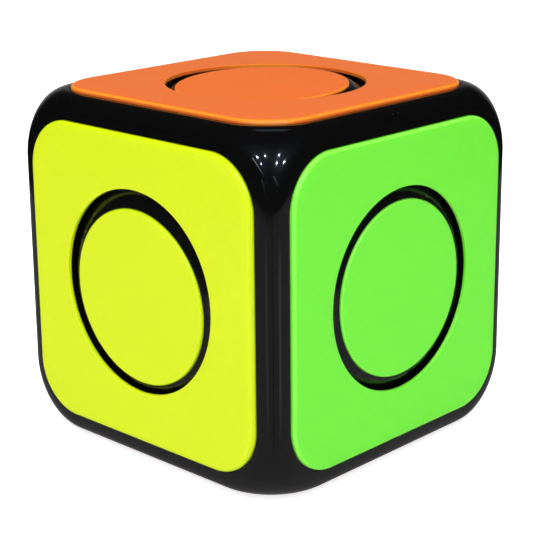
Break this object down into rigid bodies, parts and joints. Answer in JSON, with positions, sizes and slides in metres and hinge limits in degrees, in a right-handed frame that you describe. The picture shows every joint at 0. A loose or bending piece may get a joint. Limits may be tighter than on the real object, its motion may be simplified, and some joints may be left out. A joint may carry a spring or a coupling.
{
  "type": "fidget cube",
  "caption": "Pocket desk toy: a rounded black cube frame with coloured ring faces around an inner ball whose coloured discs turn to match them.",
  "frame": {"origin": "centre of the cube and of the ball", "axes": "+Z through the orange face, +X through the green face, -Y through the yellow face"},
  "size_m": [0.05, 0.0504, 0.0504],
  "materials": {
    "frame_black": "piano black, high gloss",
    "ball_black": "black, gloss",
    "orange_plastic": "semi-gloss moulded plastic",
    "red_plastic": "semi-gloss moulded plastic",
    "green_plastic": "semi-gloss moulded plastic",
    "blue_plastic": "semi-gloss moulded plastic",
    "white_plastic": "semi-gloss moulded plastic",
    "yellow_plastic": "semi-gloss moulded plastic",
    "magnet_nickel": "nickel-plated",
    "screw_steel": "zinc-plated",
    "weight_steel": "ground",
    "holder_grey": "moulded"
  },
  "bodies": {
    "frame": {"frame_half_a": "frame_black", "frame_half_b": "frame_black", "frame_magnet_a": "magnet_nickel", "frame_magnet_b": "magnet_nickel", "plate_orange": "orange_plastic", "plate_red": "red_plastic", "plate_green": "green_plastic", "plate_blue": "blue_plastic", "plate_white": "white_plastic", "plate_yellow": "yellow_plastic", "frame_screw_orange": "screw_steel", "frame_screw_red": "screw_steel", "frame_screw_green": "screw_steel", "frame_screw_blue": "screw_steel", "frame_screw_white": "screw_steel", "frame_screw_yellow": "screw_steel"},
    "weight": {"core_weight": "weight_steel"},
    "holder": {"weight_holder": "holder_grey"},
    "ball": {"ball_half_top": "ball_black", "ball_half_bottom": "ball_black", "disc_orange": "orange_plastic", "disc_red": "red_plastic", "disc_green": "green_plastic", "disc_blue": "blue_plastic", "disc_white": "white_plastic", "disc_yellow": "yellow_plastic", "ball_magnet_1": "magnet_nickel", "ball_magnet_2": "magnet_nickel", "ball_magnet_3": "magnet_nickel", "ball_magnet_4": "magnet_nickel", "ball_magnet_5": "magnet_nickel", "ball_magnet_6": "magnet_nickel", "ball_magnet_7": "magnet_nickel", "ball_magnet_8": "magnet_nickel", "ball_screw_1": "screw_steel", "ball_screw_2": "screw_steel", "ball_screw_3": "screw_steel"}
  },
  "joints": [
    {"name": "ball_turn_z", "type": "hinge", "parent": "frame", "child": "weight", "pos_m": [0, 0, 0], "axis": [0, 0, 1], "continuous": true},
    {"name": "ball_turn_y", "type": "hinge", "parent": "weight", "child": "holder", "pos_m": [0, 0, 0], "axis": [0, 1, 0], "continuous": true},
    {"name": "ball_turn_x", "type": "hinge", "parent": "holder", "child": "ball", "pos_m": [0, 0, 0], "axis": [1, 0, 0], "continuous": true}
  ]
}
